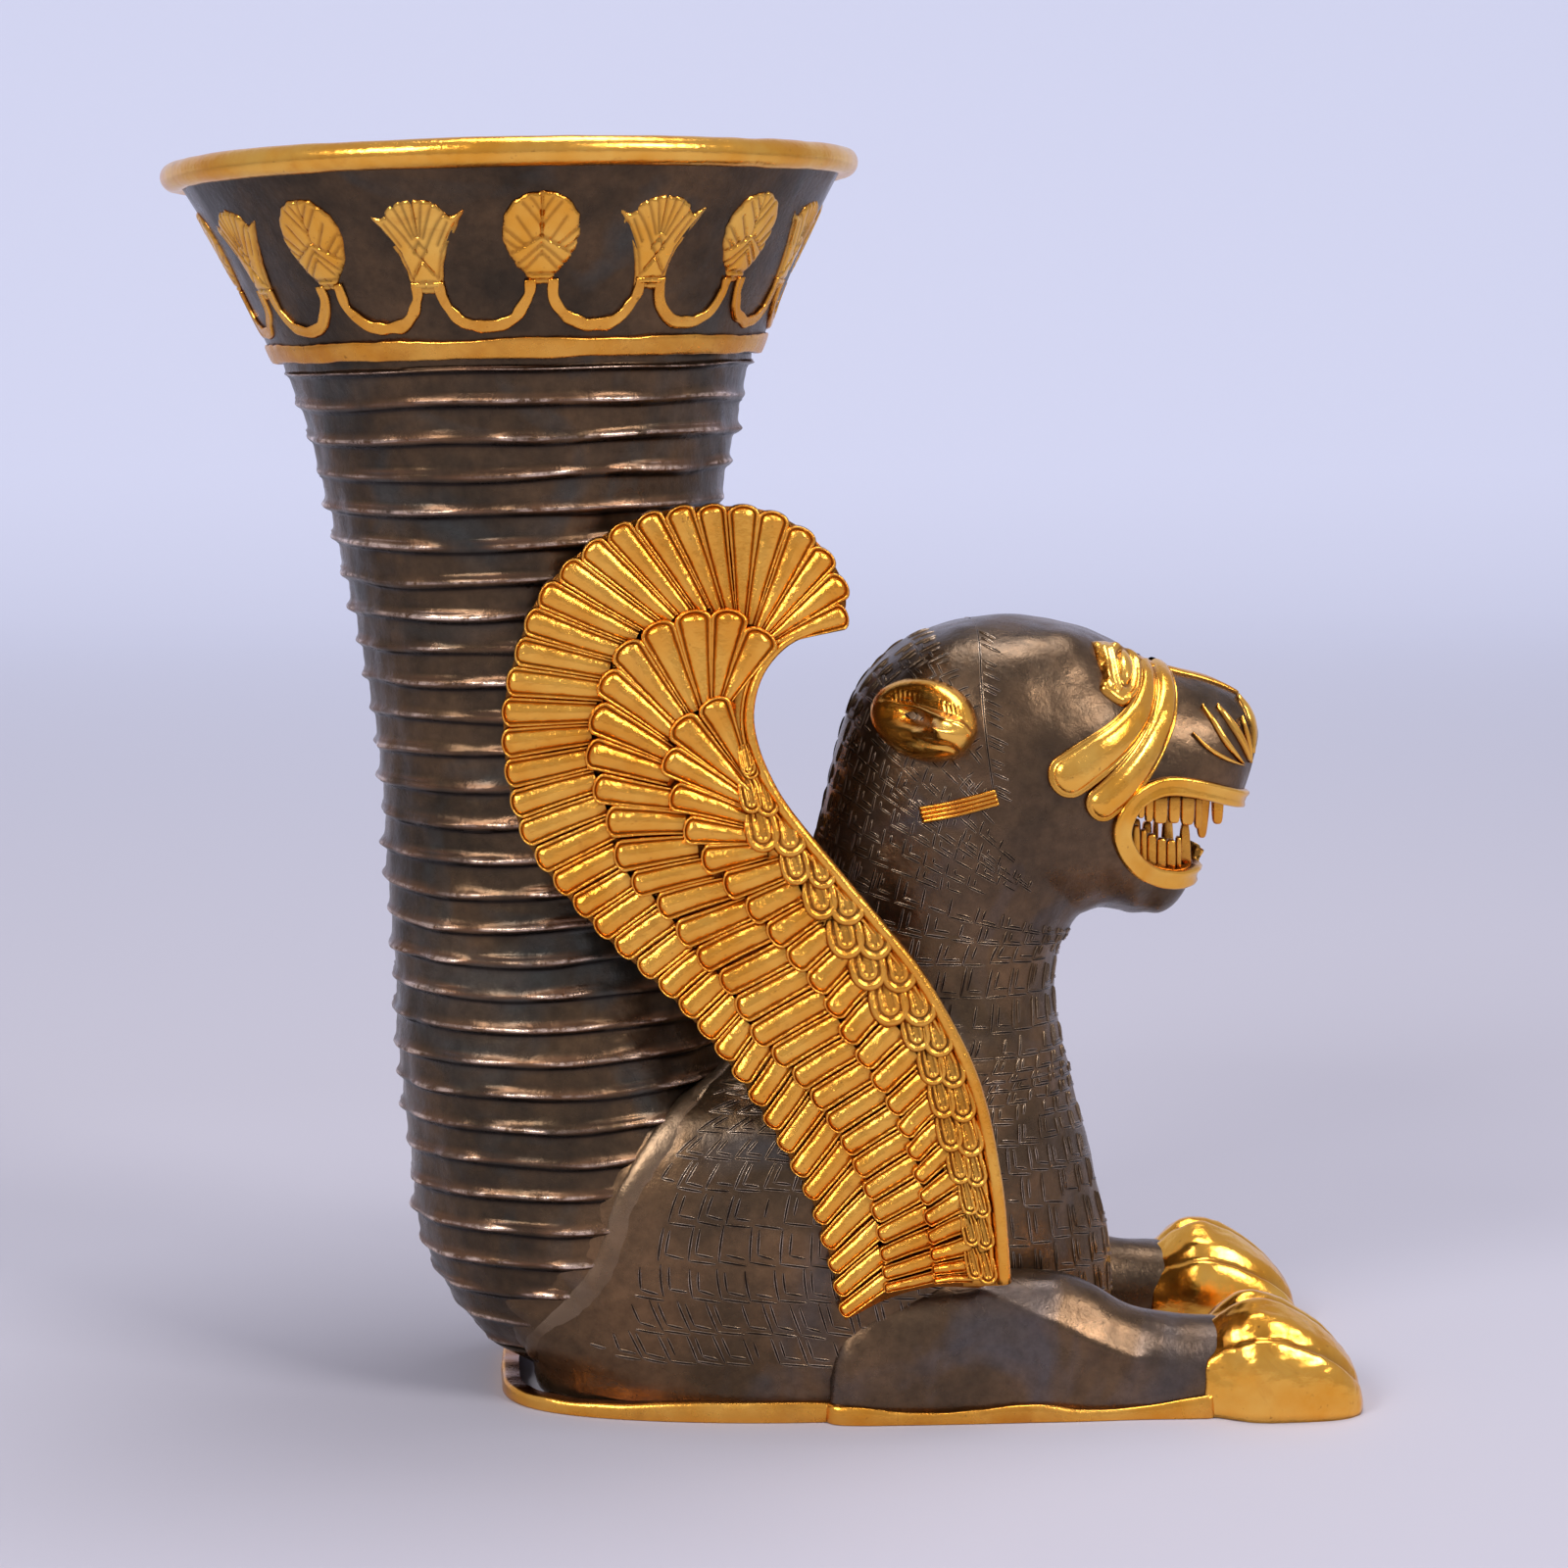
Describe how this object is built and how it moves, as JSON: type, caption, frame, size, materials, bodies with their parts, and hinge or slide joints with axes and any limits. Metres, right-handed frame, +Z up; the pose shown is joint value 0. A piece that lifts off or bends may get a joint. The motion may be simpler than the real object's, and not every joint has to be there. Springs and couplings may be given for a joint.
{
  "type": "animal-shaped cup",
  "caption": "Drinking horn cup: a fluted silver beaker with a gilt lotus collar rising from the forepart of a crouching winged lion with open jaws.",
  "frame": {"origin": "on the table, midway between the back of the mouth rim and the tips of the paws, on the middle plane", "axes": "+X the way the lion looks, -Y its right side, +Z up along the horn"},
  "size_m": [0.2094, 0.1208, 0.2193],
  "materials": {
    "horn_silver": "oxidised silver sheet, dark in the grooves and polished on the lips of the flutes",
    "body_silver": "oxidised silver sheet, dark brown grey, with chased lines",
    "wing_gilt": "fire-gilt silver, chased, with red-brown patina in the grooves",
    "trim_gilt": "fire-gilt silver, polished, worn in places"
  },
  "bodies": {
    "root": {"horn_beaker": "horn_silver", "head_shell": "body_silver", "trunk_shell": "body_silver", "foreleg_right": "body_silver", "foreleg_left": "body_silver", "base_plate": "body_silver", "rim_bead": "trim_gilt", "collar_band": "trim_gilt", "lotus_flowers": "trim_gilt", "lotus_buds": "trim_gilt", "lotus_garland": "trim_gilt", "lip_band": "trim_gilt", "muzzle_folds_right": "trim_gilt", "muzzle_folds_left": "trim_gilt", "eye_right": "trim_gilt", "eye_left": "trim_gilt", "whiskers_right": "trim_gilt", "whiskers_left": "trim_gilt", "nose_bridge": "trim_gilt", "upper_teeth": "trim_gilt", "lower_teeth": "trim_gilt", "ear_right": "trim_gilt", "ear_left": "trim_gilt", "cheek_bar_right": "trim_gilt", "cheek_bar_left": "trim_gilt", "base_band": "trim_gilt", "paw_right": "trim_gilt", "paw_left": "trim_gilt", "wing_plate_right": "wing_gilt", "wing_feathers_right": "wing_gilt", "wing_rim_right": "wing_gilt", "wing_plate_left": "wing_gilt", "wing_feathers_left": "wing_gilt", "wing_rim_left": "wing_gilt"}
  },
  "joints": []
}
